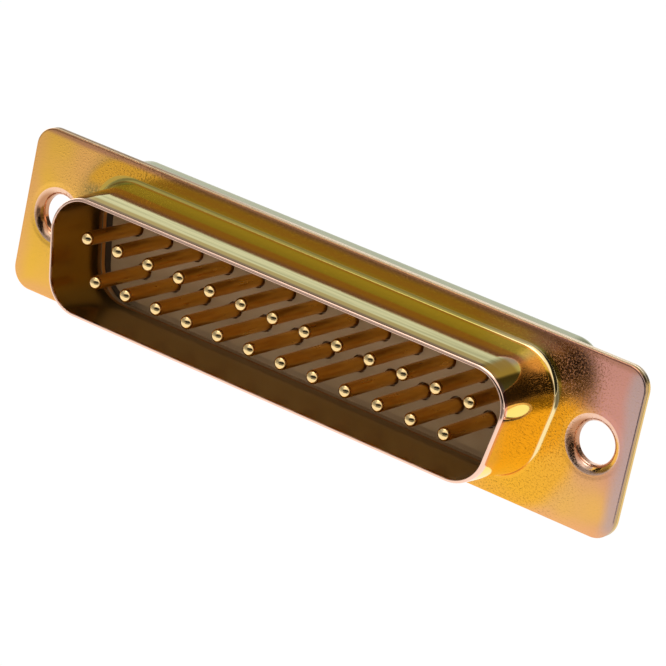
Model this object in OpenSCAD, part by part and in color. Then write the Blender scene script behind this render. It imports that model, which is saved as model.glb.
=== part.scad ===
// 25-way D-shaped plug connector with machined contacts and solder cups.
// X runs along the connector, +Z is the side of the longer contact row and
// the mating side faces -Y. The origin lies midway between the two mounting
// holes, on the front face of the flange.

/* [Flange] */
// Length of the mounting flange
flange_length = 53.04; // [52.6:0.02:53.6]
// Height of the mounting flange
flange_height = 12.55; // [12.3:0.05:13]
// Radius of the flange corners
flange_corner = 1.6; // [1:0.1:2.4]
// Distance between the two mounting holes
hole_spacing = 47.04; // [46.8:0.02:47.3]
// Diameter of each mounting hole
hole_diameter = 3.05; // [2.8:0.05:3.2]

/* [Shells] */
// Thickness of the drawn steel sheet
sheet = 0.38; // [0.3:0.02:0.4]
// Inside width of the front skirt at its wide side
skirt_width = 38.96; // [38.8:0.02:39.1]
// Inside height of the front skirt
skirt_height = 8.36; // [8.2:0.02:8.5]
// Inside radius of the skirt corners
skirt_corner = 2.6; // [2.4:0.1:2.8]
// How far the skirt stands in front of the flange
skirt_depth = 5.95; // [5.6:0.05:6.2]
// Outside width of the rear body at its wide side
body_width = 41.82; // [41.7:0.02:42]
// Outside height of the rear body
body_height = 10.7; // [10.6:0.02:10.8]
// Outside radius of the rear body's corners
body_corner = 2.37; // [2.2:0.01:2.6]
// How far the rear shell reaches behind the flange's front face
rear_depth = 4.85; // [4.6:0.05:5.2]

/* [Contacts] */
// Contacts in the upper row, one more than in the lower row
upper_count = 13; // [13:1:13]
// Distance between neighbouring contacts in a row
contact_pitch = 2.77; // [2.74:0.01:2.8]
// Distance between the two rows
row_spacing = 2.84; // [2.8:0.01:2.9]
// Diameter of a contact pin
pin_diameter = 1.02; // [0.9:0.01:1.1]
// How far the pins reach in front of the flange
pin_reach = 5.75; // [5.4:0.05:5.8]
// Outside diameter of a solder cup
cup_diameter = 1.8; // [1.6:0.05:1.9]
// Bore of a solder cup
cup_bore = 1.15; // [1:0.05:1.25]
// How far the solder cups reach behind the flange's front face
cup_reach = 10.4; // [9.8:0.1:11]

/* [Hidden] */
$fn = 48;

// Every D outline is a four-cornered spine, grown by a reach. A spine is given
// by its upper right corner, and joins the centres of the four corner arcs.
// The slant is close to ten degrees, at a value whose sine and cosine are
// short decimals.
skirt_slant = 9.9264;
skirt_spine = [skirt_width / 2 - skirt_corner, skirt_height / 2 - skirt_corner];
body_spine = [body_width / 2 - body_corner, body_height / 2 - body_corner];
boss_spine = [skirt_spine[0] - 0.35, skirt_spine[1]];
half_overlap = 1;

// Reaches from the skirt's spine
wall_in = skirt_corner;
wall_out = wall_in + sheet;
foot_round = 0.32;
foot_reach = wall_out + foot_round;

// Reaches from the body's spine
body_out = body_corner;
body_in = body_out - sheet;
body_foot_round = 0.3;
body_foot_reach = body_out + body_foot_round;
back_round = 0.9;
back_opening = 0.8;

// Heights along the mating direction, positive towards the mating side
flange_back = -sheet;
stack_back = -2 * sheet;
edge_round = 0.15;
rim_round = 0.12;

// Eyelets that are drawn from the front shell and clinched behind the rear one
eyelet_bore = hole_diameter / 2;
eyelet_wall = 0.3;
eyelet_lip = 0.7;
eyelet_out = eyelet_bore + eyelet_wall;
eyelet_under = 0.3;
eyelet_clear = eyelet_out + eyelet_under;
eyelet_roll = 0.15;
clinch_reach = 2.5;

// Insulators
moulding_gap = 0.02;
block_reach = body_in - moulding_gap;
block_front = flange_back;
block_split = -2.6;
boss_reach = 2.3;
groove_reach = 2.95;
groove_floor = -1;
tail_back = -5.5;
tail_reach = back_opening - 0.05;
seat_round = back_round - sheet + 0.1;
mouth_radius = 0.64;
mouth_floor = block_front - 0.45;
pin_gap = 0.03;

// Contacts
pin_radius = pin_diameter / 2;
shoulder_radius = 0.95;
shoulder_front = block_split + 0.7;
shoulder_back = block_split - 0.7;
stem_radius = 0.75;
cup_radius = cup_diameter / 2;
cup_front = tail_back - 0.1;
cup_back = -cup_reach;
cup_floor = cup_front - 1.1;
scoop_front = cup_floor - 0.3;
scoop_level = 0.1;
scoop_round = cup_radius - scoop_level;
lower_count = upper_count - 1;

// Lays a drawing in which z is the mating direction into the part's frame
module facing_mate() {
  rotate([90, 0, 0]) children();
}

// A straight run of a section whose x is the reach and whose y is the height.
// It starts at the frame's origin, and the reach points along the normal.
module straight_run(normal, run) {
  rotate([90, 0, normal]) linear_extrude(run) children();
}

// A turn of a section round the frame's origin
module corner_turn(from_angle, turn) {
  rotate([0, 0, from_angle]) rotate_extrude(angle = turn) children();
}

// Length of a spine's slanted side
function side_length(spine) = 2 * spine[1] / cos(skirt_slant);

// Length of the lower run of a spine's half, with its overlap in the middle
function low_run(spine) =
  spine[0] - 2 * spine[1] * tan(skirt_slant) + half_overlap;

// The frame of a spine's upper right corner
module at_upper_corner(spine) {
  translate([spine[0], spine[1], 0]) children();
}

// The frame of a spine's lower right corner, reached along the slanted side
module at_lower_corner(spine) {
  at_upper_corner(spine)
    rotate([0, 0, -skirt_slant])
      translate([0, -side_length(spine), 0])
        rotate([0, 0, skirt_slant]) children();
}

// The part's right half and its mirror image
module both_halves() {
  children();
  mirror([1, 0, 0]) children();
}

// A section swept once round a D spine. The halves overlap in the middle.
module sweep_round_d(spine) {
  both_halves() {
    translate([-half_overlap, spine[1], 0])
      straight_run(90, spine[0] + half_overlap) children();
    at_upper_corner(spine) {
      corner_turn(-skirt_slant, 90 + skirt_slant) children();
      straight_run(-skirt_slant, side_length(spine)) children();
    }
    at_lower_corner(spine) {
      corner_turn(-90, 90 - skirt_slant) children();
      straight_run(-90, low_run(spine)) children();
    }
  }
}

// A section swept once round the flange's rectangle of corner centres
module sweep_round_flange() {
  x = flange_length / 2 - flange_corner;
  z = flange_height / 2 - flange_corner;
  for (turn = [0, 180])
    rotate([0, 0, turn]) {
      translate([-x, z, 0]) straight_run(90, 2 * x) children();
      translate([x, z, 0]) straight_run(0, 2 * z) children();
      translate([x, z, 0]) corner_turn(0, 90) children();
      translate([-x, z, 0]) corner_turn(90, 90) children();
    }
}

// A D-shaped block of one reach, with a rounded edge at the back if it has one.
// Each run reaches past the spine, so that the runs fill the middle together.
module d_block(spine, reach, back, front, edge = 0) {
  both_halves() {
    translate([-half_overlap, spine[1], 0])
      straight_run(90, spine[0] + half_overlap)
        edged_section(-spine[1] - half_overlap, reach, back, front, edge);
    at_upper_corner(spine) {
      corner_turn(-skirt_slant, 90 + skirt_slant)
        edged_section(0, reach, back, front, edge);
      straight_run(-skirt_slant, side_length(spine))
        edged_section(-half_overlap, reach, back, front, edge);
    }
    at_lower_corner(spine) {
      corner_turn(-90, 90 - skirt_slant)
        edged_section(0, reach, back, front, edge);
      straight_run(-90, low_run(spine))
        edged_section(-spine[1], reach, back, front, edge);
    }
  }
}

// Section of a band between two reaches and two heights
module band_section(inner, outer, back, front) {
  translate([inner, back]) square([outer - inner, front - back]);
}

// The same band with its outer edge rounded at the back
module edged_section(inner, outer, back, front, edge) {
  if (edge > 0) {
    band_section(inner, outer - edge, back, front);
    band_section(outer - edge, outer, back + edge, front);
    intersection() {
      translate([outer - edge, back + edge]) circle(edge);
      band_section(outer - edge, outer, back, back + edge);
    }
  } else {
    band_section(inner, outer, back, front);
  }
}

// Section of a quarter bend of sheet round a centre, in one quadrant
module bend_section(centre, inner, outer, quadrant) {
  corner_x = quadrant[0] > 0 ? 0 : -outer;
  corner_y = quadrant[1] > 0 ? 0 : -outer;
  translate(centre)
    intersection() {
      difference() {
        circle(outer);
        circle(inner);
      }
      translate([corner_x, corner_y]) square(outer);
    }
}

// The flat flange of one shell between height zero and a sheet's thickness,
// with its outer edge rounded at height zero
module flange_plate(spine, d_reach, hole_radius) {
  x = flange_length / 2 - flange_corner;
  z = flange_height / 2 - flange_corner;
  difference() {
    union() {
      translate([-x, -z, 0]) cube([2 * x, 2 * z, sheet]);
      sweep_round_flange()
        edged_section(0, flange_corner, 0, sheet, edge_round);
    }
    d_block(spine, d_reach, -1, sheet + 1);
    for (side = [-1, 1])
      translate([side * hole_spacing / 2, 0, -1])
        cylinder(r = hole_radius, h = sheet + 2);
  }
}

// Section of the skirt: rounded rim, straight wall and the bend at its foot
module skirt_section() {
  foot = [foot_reach, foot_round];
  band_section(wall_in, wall_out, foot_round, skirt_depth - rim_round);
  band_section(wall_in + rim_round, wall_out - rim_round,
    skirt_depth - rim_round, skirt_depth);
  for (edge = [wall_in + rim_round, wall_out - rim_round])
    intersection() {
      translate([edge, skirt_depth - rim_round]) circle(rim_round, $fn = 24);
      band_section(wall_in, wall_out, skirt_depth - rim_round, skirt_depth);
    }
  bend_section(foot, foot_round, foot_round + sheet, [-1, -1]);
}

// Section of an eyelet: rounded mouth, throat and the lip clinched behind
module eyelet_section() {
  mouth = eyelet_bore + eyelet_lip;
  difference() {
    intersection() {
      translate([mouth, -eyelet_lip]) circle(eyelet_lip);
      band_section(eyelet_bore, mouth, -eyelet_lip, 0);
    }
    intersection() {
      band_section(eyelet_out, mouth, -eyelet_lip, flange_back);
      union() {
        translate([eyelet_clear, -eyelet_lip]) circle(eyelet_under, $fn = 24);
        band_section(eyelet_clear, mouth + 1, -eyelet_lip - 1, flange_back);
      }
    }
  }
  band_section(eyelet_bore, eyelet_out, stack_back, -eyelet_lip);
  clinch_section();
}

// Section of the clinched lip, whose throat edge is rolled round
module clinch_section() {
  back = stack_back - eyelet_wall;
  roll_reach = eyelet_bore + eyelet_roll;
  roll_height = back + eyelet_roll;
  band_section(roll_reach, clinch_reach, back, stack_back);
  band_section(eyelet_bore, roll_reach, roll_height, stack_back);
  intersection() {
    translate([roll_reach, roll_height]) circle(eyelet_roll, $fn = 24);
    band_section(eyelet_bore, roll_reach, back, roll_height);
  }
}

// Front shell: one drawn sheet with its flange, D skirt and two eyelets
module front_shell() {
  color([0.87, 0.67, 0.28])
    facing_mate() {
      mirror([0, 0, 1])
        flange_plate(skirt_spine, foot_reach, eyelet_bore + eyelet_lip);
      sweep_round_d(skirt_spine) skirt_section();
      for (side = [-1, 1])
        translate([side * hole_spacing / 2, 0, 0])
          rotate_extrude() eyelet_section();
    }
}

// Section of the rear shell's drawn body, from its foot bend to its back lip
module body_section() {
  foot = [body_foot_reach, stack_back - body_foot_round];
  back = [body_out - back_round, back_round - rear_depth];
  bend_section(foot, body_foot_round, body_foot_round + sheet, [-1, 1]);
  band_section(body_in, body_out, back[1], foot[1]);
  bend_section(back, back_round - sheet, back_round, [1, -1]);
  band_section(back_opening, back[0], -rear_depth, sheet - rear_depth);
}

// Rear shell: one drawn sheet with its flange and a D body turned in behind
module rear_shell() {
  color([0.80, 0.76, 0.55])
    facing_mate() {
      translate([0, 0, stack_back])
        flange_plate(body_spine, body_foot_reach, eyelet_clear);
      sweep_round_d(body_spine) body_section();
    }
}

// Places a child at each contact, in the order in which they are numbered
module at_contact(index) {
  upper = index < upper_count;
  place = upper ? index : index - upper_count;
  count = upper ? upper_count : lower_count;
  translate([
    (place - (count - 1) / 2) * contact_pitch,
    (upper ? 1 : -1) * row_spacing / 2,
    0
  ])
    children();
}

// A round hole at every contact, between two heights
module contact_holes(radius, back, front) {
  for (index = [0 : upper_count + lower_count - 1])
    at_contact(index)
      translate([0, 0, back]) cylinder(r = radius, h = front - back);
}

// Front insulator: D block with a groove round its face and counterbored holes
module front_insulator() {
  color([0.42, 0.34, 0.27])
    facing_mate()
      difference() {
        d_block(body_spine, block_reach, block_split, block_front);
        difference() {
          d_block(skirt_spine, groove_reach, groove_floor, block_front + 1);
          d_block(boss_spine, boss_reach, groove_floor - 1, block_front + 2);
        }
        contact_holes(mouth_radius, mouth_floor, block_front + 1);
        contact_holes(pin_radius + pin_gap, shoulder_front - 1, mouth_floor + 1);
        contact_holes(shoulder_radius + pin_gap, block_split - 1, shoulder_front);
      }
}

// Rear insulator: D block in the rear shell with a tail through its opening
module rear_insulator() {
  seat_back = sheet - rear_depth;
  color([0.40, 0.32, 0.25])
    facing_mate()
      difference() {
        union() {
          d_block(body_spine, block_reach, seat_back, block_split, seat_round);
          d_block(body_spine, tail_reach, tail_back, seat_back);
        }
        contact_holes(shoulder_radius + pin_gap, shoulder_back, block_split + 1);
        contact_holes(stem_radius + pin_gap, tail_back - 1, shoulder_back + 1);
      }
}

// Half section of a contact: domed pin, shoulder, stem and solder cup
module contact_section() {
  dome = pin_reach - pin_radius;
  intersection() {
    translate([0, dome]) circle(pin_radius);
    band_section(0, pin_radius, dome, pin_reach);
  }
  band_section(0, pin_radius, shoulder_front, dome);
  band_section(0, shoulder_radius, shoulder_back, shoulder_front);
  band_section(0, stem_radius, cup_front, shoulder_back);
  band_section(0, cup_radius, cup_floor, cup_front);
  band_section(cup_bore / 2, cup_radius, cup_back, cup_floor);
}

// The cut that opens a cup towards +Y, with a round run-out at its front
module scoop() {
  run_out = scoop_front - scoop_round;
  width = 2 * cup_diameter;
  translate([-width / 2, scoop_level, cup_back - 1])
    cube([width, cup_diameter, run_out - cup_back + 1]);
  translate([-width / 2, scoop_level + scoop_round, run_out])
    rotate([0, 90, 0]) cylinder(r = scoop_round, h = width);
}

// One turned contact, with its cup cut open towards the outer side
module contact(index) {
  color([0.93, 0.76, 0.42])
    facing_mate()
      at_contact(index)
        rotate([0, 0, index < upper_count ? 0 : 180])
          difference() {
            rotate_extrude() contact_section();
            scoop();
          }
}

front_shell();
rear_shell();
front_insulator();
rear_insulator();
for (index = [0 : upper_count + lower_count - 1])
  contact(index);
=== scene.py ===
"""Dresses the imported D-sub plug connector and lights it in a plain white studio."""

import logging
import math
from abc import ABC, abstractmethod
from collections.abc import Iterable, Sequence
from dataclasses import dataclass
from enum import Enum
from typing import ClassVar

import bmesh
import bpy
from mathutils import Matrix, Vector


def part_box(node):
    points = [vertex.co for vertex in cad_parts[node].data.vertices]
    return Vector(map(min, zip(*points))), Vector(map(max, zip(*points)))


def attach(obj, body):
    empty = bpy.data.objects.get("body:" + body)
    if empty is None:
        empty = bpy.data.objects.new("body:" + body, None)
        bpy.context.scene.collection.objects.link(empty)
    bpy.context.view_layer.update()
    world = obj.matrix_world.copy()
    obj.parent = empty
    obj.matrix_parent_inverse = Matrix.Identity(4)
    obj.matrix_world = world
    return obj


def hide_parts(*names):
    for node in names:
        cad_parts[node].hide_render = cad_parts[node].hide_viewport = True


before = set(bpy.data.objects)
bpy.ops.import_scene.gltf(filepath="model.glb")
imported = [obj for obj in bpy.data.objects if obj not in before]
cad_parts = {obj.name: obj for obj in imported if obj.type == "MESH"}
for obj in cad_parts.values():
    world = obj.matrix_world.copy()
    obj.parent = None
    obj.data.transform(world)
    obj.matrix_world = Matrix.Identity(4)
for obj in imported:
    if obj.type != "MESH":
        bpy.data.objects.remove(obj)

LOG = logging.getLogger("connector")
MM = 0.001
BODY = "root"
WHITE = (1.0, 1.0, 1.0)
DEGREE = math.degrees(1.0)
QUARTER = math.pi / 2
SHEET_STEEL = 0.38
HOLE_SPACING = 47.04
FLAT_MARGIN = 0.25

Point = tuple[float, float]
Colour = tuple[float, float, float]


def facing_mate(reach: float, height: float, along: float = 0.0) -> Vector:
    """Turn millimetres across, towards the mating side and along X into a place in the frame.

    Args:
        reach: Distance up the Z axis.
        height: Distance towards the mating side, which is -Y.
        along: Distance along the X axis.

    Returns:
        The place in metres.
    """
    return Vector((along, -height, reach)) * MM


# --- shader graphs -----------------------------------------------------------


class Channel:
    """A number that a shader socket gives, ready for Python arithmetic."""

    def __init__(self, graph: "Graph", socket: bpy.types.NodeSocket) -> None:
        """Keep the socket and the graph that it belongs to."""
        self.graph = graph
        self.socket = socket

    def __add__(self, other: "Operand") -> "Channel":
        """Add a number or a channel."""
        return self.graph.math("ADD", self, other)

    __radd__ = __add__

    def __mul__(self, other: "Operand") -> "Channel":
        """Multiply by a number or a channel."""
        return self.graph.math("MULTIPLY", self, other)

    __rmul__ = __mul__

    def __sub__(self, other: "Operand") -> "Channel":
        """Subtract a number or a channel."""
        return self.graph.math("SUBTRACT", self, other)

    def __rsub__(self, other: "Operand") -> "Channel":
        """Subtract this channel from a number."""
        return self.graph.math("SUBTRACT", other, self)

    def __truediv__(self, other: "Operand") -> "Channel":
        """Divide by a number or a channel."""
        return self.graph.math("DIVIDE", self, other)

    def __rtruediv__(self, other: "Operand") -> "Channel":
        """Divide a number by this channel."""
        return self.graph.math("DIVIDE", other, self)

    def __pow__(self, other: "Operand") -> "Channel":
        """Raise to a power."""
        return self.graph.math("POWER", self, other)

    def __neg__(self) -> "Channel":
        """Turn the sign round."""
        return self.graph.math("MULTIPLY", self, -1.0)

    def __abs__(self) -> "Channel":
        """Drop the sign."""
        return self.graph.math("ABSOLUTE", self)

    def step(self, low: float, high: float) -> "Channel":
        """Rise smoothly from 0 to 1.

        Args:
            low: Value at which the step starts.
            high: Value at which the step is complete; it may lie below low.

        Returns:
            The step as a channel.
        """
        made = self.graph.node(
            "ShaderNodeMapRange",
            {"interpolation_type": "SMOOTHSTEP"},
            {"Value": self, "From Min": low, "From Max": high, "To Min": 0.0, "To Max": 1.0},
        )
        return Channel(self.graph, made.outputs["Result"])

    def centred(self) -> "Channel":
        """Turn a noise from 0 to 1 into one about zero."""
        return self - 0.5


Operand = Channel | float


class Graph:
    """The node tree of one material or of the world."""

    def __init__(self, tree: bpy.types.NodeTree) -> None:
        """Empty the tree.

        Args:
            tree: The node tree to build in.
        """
        self.tree = tree
        self.tree.nodes.clear()
        self.coordinates: bpy.types.Node | None = None

    def node(
        self, kind: str, settings: dict | None = None, inputs: dict | None = None
    ) -> bpy.types.Node:
        """Make one node.

        Args:
            kind: Blender's name of the node type.
            settings: Properties, set first.
            inputs: Values, channels or sockets by input name or number.

        Returns:
            The node.
        """
        made = self.tree.nodes.new(kind)
        for name, value in (settings or {}).items():
            setattr(made, name, value)
        for name, value in (inputs or {}).items():
            self._feed(made.inputs[name], value)
        return made

    def _feed(self, socket: bpy.types.NodeSocket, value: object) -> None:
        """Link or set one input socket."""
        if isinstance(value, Channel):
            self.tree.links.new(value.socket, socket)
        elif isinstance(value, bpy.types.NodeSocket):
            self.tree.links.new(value, socket)
        elif socket.type == "RGBA" and isinstance(value, tuple):
            socket.default_value = (*value[:3], 1.0)
        else:
            socket.default_value = value

    def end(self, output: str, surface: bpy.types.Node) -> None:
        """Join the last shader to the output node."""
        self.node(output, None, {"Surface": surface.outputs[0]})

    def blend(
        self, factor: Operand, low: bpy.types.Node, high: bpy.types.Node
    ) -> bpy.types.Node:
        """Blend two shaders by a factor."""
        return self.node(
            "ShaderNodeMixShader", None, {0: factor, 1: low.outputs[0], 2: high.outputs[0]}
        )

    def direction(self) -> bpy.types.NodeSocket:
        """Give the direction in which the world is looked at."""
        return self.node("ShaderNodeTexCoord").outputs["Generated"]

    def math(self, operation: str, first: Operand, second: Operand = 0.0) -> Channel:
        """Add one Math node.

        Args:
            operation: Blender's name of the operation.
            first: First operand.
            second: Second operand, if the operation has one.

        Returns:
            The result.
        """
        made = self.node("ShaderNodeMath", {"operation": operation}, {0: first, 1: second})
        return Channel(self, made.outputs[0])

    def larger(self, first: Operand, second: Operand) -> Channel:
        """Give the larger of two channels."""
        return self.math("MAXIMUM", first, second)

    def heading(self, x: Channel, y: Channel) -> Channel:
        """Give the compass heading in degrees, 0 towards the mating side."""
        return self.math("ARCTAN2", x, -y) * DEGREE

    @staticmethod
    def length(first: Channel, second: Channel) -> Channel:
        """Give the length of a flat vector."""
        return (first * first + second * second) ** 0.5

    def mix(self, factor: Operand, low: object, high: object) -> bpy.types.NodeSocket:
        """Blend two colours.

        Args:
            factor: Share of the second colour.
            low: First colour or colour socket.
            high: Second colour or colour socket.

        Returns:
            The colour socket.
        """
        made = self.node("ShaderNodeMix", {"data_type": "RGBA"}, {0: factor, 6: low, 7: high})
        return made.outputs[2]

    def paint(self, colour: object, *coats: tuple[Operand, object]) -> bpy.types.NodeSocket:
        """Lay coats of colour over one another.

        Args:
            colour: The colour under all of them.
            coats: For each coat its mask and its colour.

        Returns:
            The colour socket.
        """
        for mask, coat in coats:
            colour = self.mix(mask, colour, coat)
        return colour

    def place(self, stretch: Colour = WHITE) -> bpy.types.NodeSocket:
        """Give the point in the piece's own coordinates, stretched along its axes."""
        if self.coordinates is None:
            self.coordinates = self.node("ShaderNodeTexCoord")
        source = self.coordinates.outputs["Object"]
        if stretch == WHITE:
            return source
        made = self.node("ShaderNodeMapping", None, {"Vector": source, "Scale": stretch})
        return made.outputs["Vector"]

    def split(self, vector: bpy.types.NodeSocket) -> tuple[Channel, Channel, Channel]:
        """Split a vector into three channels."""
        made = self.node("ShaderNodeSeparateXYZ", None, {"Vector": vector})
        x, y, z = (Channel(self, output) for output in made.outputs)
        return x, y, z

    def grain(
        self,
        feature_mm: float,
        detail: float = 2.0,
        roughness: float = 0.5,
        stretch: Colour = WHITE,
    ) -> Channel:
        """Add a noise texture.

        Args:
            feature_mm: Size of one blotch.
            detail: Octaves of finer noise.
            roughness: Share of the finer octaves.
            stretch: Scale along each axis before the noise.

        Returns:
            Noise from 0 to 1, centred near a half.
        """
        made = self.node(
            "ShaderNodeTexNoise",
            {"noise_dimensions": "3D"},
            {
                "Vector": self.place(stretch),
                "Scale": 1.0 / (feature_mm * MM),
                "Detail": detail,
                "Roughness": roughness,
            },
        )
        return Channel(self, made.outputs[0])

    def bump(
        self,
        height: Channel,
        depth_mm: float,
        strength: float,
        under: bpy.types.NodeSocket | None = None,
    ) -> bpy.types.NodeSocket:
        """Turn a height into a bent normal.

        Args:
            height: Height from 0 to 1.
            depth_mm: What a height of 1 stands for.
            strength: Share of the effect.
            under: The normal that it bends, if another bump comes first.

        Returns:
            The normal socket.
        """
        inputs: dict = {"Height": height, "Distance": depth_mm * MM, "Strength": strength}
        if under is not None:
            inputs["Normal"] = under
        return self.node("ShaderNodeBump", None, inputs).outputs["Normal"]


@dataclass(frozen=True)
class Edge:
    """The edge of a patch: where it starts, where it is complete and how it wanders."""

    start: float
    full: float
    wander: float = 0.0
    share: float = 1.0

    def mask(self, value: Channel, drift: Channel | None = None) -> Channel:
        """Rise from nothing to the edge's share.

        Args:
            value: Channel on which the edge is measured.
            drift: Noise about zero that moves an edge that wanders.

        Returns:
            The mask.
        """
        if drift is not None:
            value = value + drift * self.wander
        risen = value.step(self.start, self.full)
        return risen if self.share == 1.0 else risen * self.share


@dataclass(frozen=True)
class ShellMap:
    """Where a point lies on the shells, as channels in millimetres."""

    HALF_WIDTH: ClassVar[float] = 16.6
    HALF_HEIGHT: ClassVar[float] = 1.58
    SLANT: ClassVar[float] = 0.175
    LEAST_REACH: ClassVar[float] = 0.01

    along: Channel
    up: Channel
    height: Channel
    reach: Channel
    hole: Channel
    facing_along: Channel
    facing_mate: Channel
    facing_up: Channel
    facing_out: Channel

    @classmethod
    def on(cls, graph: Graph) -> "ShellMap":
        """Work out the map of a material.

        Args:
            graph: The material's graph.

        Returns:
            The map.
        """
        x, y, z = graph.split(graph.place())
        along, up, height = x * (1 / MM), z * (1 / MM), y * (-1 / MM)
        beside = graph.larger(abs(along) - cls.HALF_WIDTH - up * cls.SLANT, 0.0)
        above = graph.larger(abs(up) - cls.HALF_HEIGHT, 0.0)
        reach = graph.length(beside, above)
        hole = graph.length(abs(along) - HOLE_SPACING / 2, up)
        nx, ny, nz = graph.split(graph.node("ShaderNodeNewGeometry").outputs["Normal"])
        sideways = nx * beside * graph.math("SIGN", along)
        upwards = nz * above * graph.math("SIGN", up)
        outwards = (sideways + upwards) / graph.larger(reach, cls.LEAST_REACH)
        return cls(along, up, height, reach, hole, nx, -ny, nz, outwards)


# --- finishes ----------------------------------------------------------------


class Finish(ABC):
    """A finish of one principled shader, whose sockets each kind works out."""

    name: str

    @abstractmethod
    def sockets(self, graph: Graph) -> dict[str, object]:
        """Work out what feeds the shader.

        Args:
            graph: The material's graph.

        Returns:
            Values, channels or sockets by input name.
        """

    def material(self) -> bpy.types.Material:
        """Build the material.

        Returns:
            The finished material.
        """
        made = bpy.data.materials.new(self.name)
        made.use_nodes = True
        graph = Graph(made.node_tree)
        shader = graph.node("ShaderNodeBsdfPrincipled", None, self.sockets(graph))
        graph.end("ShaderNodeOutputMaterial", shader)
        return made


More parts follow.
